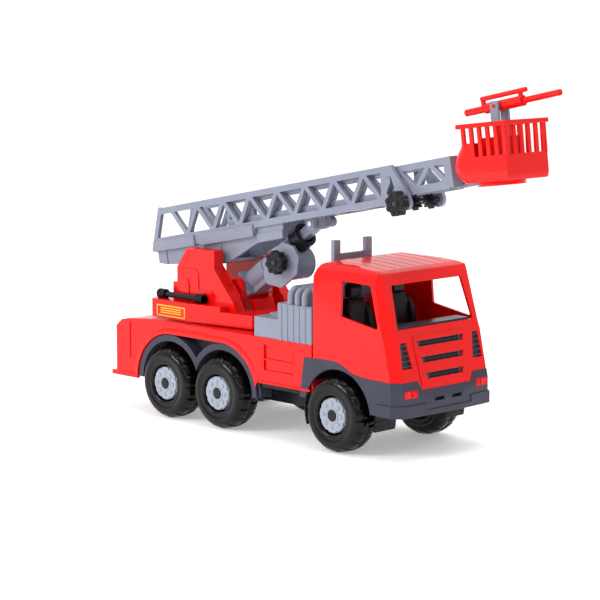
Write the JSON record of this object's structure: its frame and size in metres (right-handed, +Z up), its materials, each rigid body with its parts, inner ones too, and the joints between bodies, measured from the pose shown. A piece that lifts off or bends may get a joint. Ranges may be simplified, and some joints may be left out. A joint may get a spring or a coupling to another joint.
{
  "type": "toy fire engine",
  "caption": "Toy aerial-ladder fire engine with rolling axles, swivelling turntable, raising and extending ladder, and rescue basket.",
  "frame": {"origin": "middle of the whole toy's footprint, on the surface that the tyres stand on", "axes": "+X towards the front of the cab and the ladder's tip, +Y to the vehicle's left, +Z up"},
  "size_m": [0.486, 0.135, 0.315],
  "materials": {
    "red": "glossy moulded red plastic",
    "grey": "semi-gloss moulded silver-grey plastic",
    "dark": "semi-gloss moulded slate-grey plastic",
    "black": "glossy black plastic",
    "tyre": "shiny blow-moulded black plastic tyre",
    "steel": "bright drawn steel"
  },
  "bodies": {
    "chassis": {"chassis_shell": "red", "chassis_frame": "black", "rear_fender_right": "dark", "rear_fender_left": "dark", "front_bumper": "dark", "light_right": "red", "light_left": "red", "cab_shell": "red", "grille_insert": "dark", "vent_right": "dark", "vent_left": "dark", "interior_tray": "black", "seat_right": "black", "seat_left": "black", "dashboard": "dark", "ladder_rest": "grey", "equipment_box": "grey", "frame_screws": "steel"},
    "rear_wheels": {"axle_rear": "steel", "axle_caps_rear": "black", "tyre_rear_right": "tyre", "tyre_rear_left": "tyre", "hub_rear_right": "grey", "hub_rear_left": "grey"},
    "middle_wheels": {"axle_middle": "steel", "axle_caps_middle": "black", "tyre_middle_right": "tyre", "tyre_middle_left": "tyre", "hub_middle_right": "grey", "hub_middle_left": "grey"},
    "front_wheels": {"axle_front": "steel", "axle_caps_front": "black", "tyre_front_right": "tyre", "tyre_front_left": "tyre", "hub_front_right": "grey", "hub_front_left": "grey"},
    "turntable": {"turntable_base": "red", "turret_frame": "red", "turntable_retainer": "black", "retainer_screw": "steel", "grab_bar_right": "black", "grab_bar_left": "black", "ladder_pivot_pin": "steel", "lift_foot_pin": "steel"},
    "ladder": {"outer_ladder": "grey", "ladder_cradle": "grey", "lift_head_pin": "steel"},
    "extension": {"inner_ladder": "grey"},
    "extension_drive": {"extension_shaft": "black", "extension_knob": "black"},
    "lift_cylinder": {"lift_barrel": "grey", "lift_collar": "black"},
    "lift_ram": {"lift_rod": "grey"},
    "lift_drive": {"lift_pinion": "dark", "lift_knob": "black"},
    "basket": {"basket": "red", "basket_base": "red", "monitor_stand": "red"},
    "monitor_swivel": {"monitor_yoke": "grey"},
    "monitor": {"monitor_barrel": "red"}
  },
  "joints": [
    {"name": "rear_axle_spin", "type": "hinge", "parent": "chassis", "child": "rear_wheels", "pos_m": [-0.161, 0, 0.0327], "axis": [0, 1, 0], "continuous": true},
    {"name": "middle_axle_spin", "type": "hinge", "parent": "chassis", "child": "middle_wheels", "pos_m": [-0.0905, 0, 0.0327], "axis": [0, 1, 0], "continuous": true},
    {"name": "front_axle_spin", "type": "hinge", "parent": "chassis", "child": "front_wheels", "pos_m": [0.054, 0, 0.0327], "axis": [0, 1, 0], "continuous": true},
    {"name": "turntable_swivel", "type": "hinge", "parent": "chassis", "child": "turntable", "pos_m": [-0.141, 0, 0.09], "axis": [0, 0, 1], "continuous": true},
    {"name": "ladder_raise", "type": "hinge", "parent": "turntable", "child": "ladder", "pos_m": [-0.142, 0, 0.148], "axis": [0, -1, 0], "range_deg": [-4.5, 28]},
    {"name": "lift_tilt", "type": "hinge", "parent": "turntable", "child": "lift_cylinder", "pos_m": [-0.1143, 0, 0.1237], "axis": [0, -1, 0], "range_deg": [-4.7, 28.5]},
    {"name": "lift_slide", "type": "slide", "parent": "lift_cylinder", "child": "lift_ram", "axis": [0.8077, 0, 0.5896], "range_m": [-0.0029, 0.0179]},
    {"name": "lift_knob_turn", "type": "hinge", "parent": "lift_cylinder", "child": "lift_drive", "pos_m": [-0.05783, 0, 0.15031], "axis": [0, 1, 0], "range_deg": [-28, 170]},
    {"name": "ladder_extend", "type": "slide", "parent": "ladder", "child": "extension", "axis": [0.9806, 0, 0.1959], "range_m": [-0.03, 0.13]},
    {"name": "extension_knob_turn", "type": "hinge", "parent": "ladder", "child": "extension_drive", "pos_m": [0.09609, 0, 0.21469], "axis": [0, 1, 0], "range_deg": [-288, 1243]},
    {"name": "basket_swivel", "type": "hinge", "parent": "extension", "child": "basket", "pos_m": [0.183, 0, 0.2385], "axis": [-0.1219, 0, 0.9925], "range_deg": [-40, 40]},
    {"name": "monitor_turn", "type": "hinge", "parent": "basket", "child": "monitor_swivel", "pos_m": [0.17966, 0, 0.29854], "axis": [-0.1219, 0, 0.9925], "range_deg": [-60, 60]},
    {"name": "monitor_tilt", "type": "hinge", "parent": "monitor_swivel", "child": "monitor", "pos_m": [0.17966, 0, 0.29854], "axis": [0, -1, 0], "range_deg": [-5, 10]}
  ],
  "couplings": [
    {"joint": "lift_tilt", "follows": "ladder_raise", "ratio": 1.0125},
    {"joint": "lift_slide", "follows": "ladder_raise", "m_per_rad": 0.036179},
    {"joint": "lift_knob_turn", "follows": "ladder_raise", "ratio": 6.0298},
    {"joint": "extension_knob_turn", "follows": "ladder_extend", "rad_per_m": 166.67}
  ]
}
